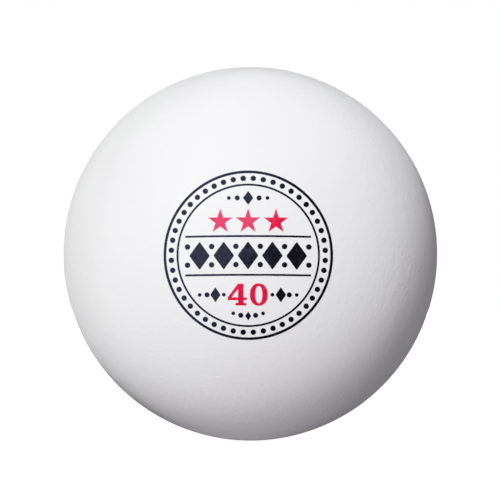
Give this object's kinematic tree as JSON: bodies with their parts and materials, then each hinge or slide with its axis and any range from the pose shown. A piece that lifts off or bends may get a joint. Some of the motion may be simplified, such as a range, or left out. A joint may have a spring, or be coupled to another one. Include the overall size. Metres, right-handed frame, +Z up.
{
  "type": "table tennis ball",
  "caption": "Seamed hollow ball for table tennis: two thin white half shells joined by a cemented lap seam.",
  "frame": {"origin": "the ball's centre", "axes": "+Y from the printed pole, at -Y, to the rear pole, square to the plane of the seam; +Z up"},
  "size_m": [0.0402, 0.0402, 0.0402],
  "materials": {
    "ball_plastic": "matte",
    "cement": "satin",
    "dark_ink": "satin",
    "red_ink": "satin"
  },
  "bodies": {
    "root": {"front_half_shell": "ball_plastic", "rear_half_shell": "ball_plastic", "seam_cement": "cement"}
  },
  "joints": []
}
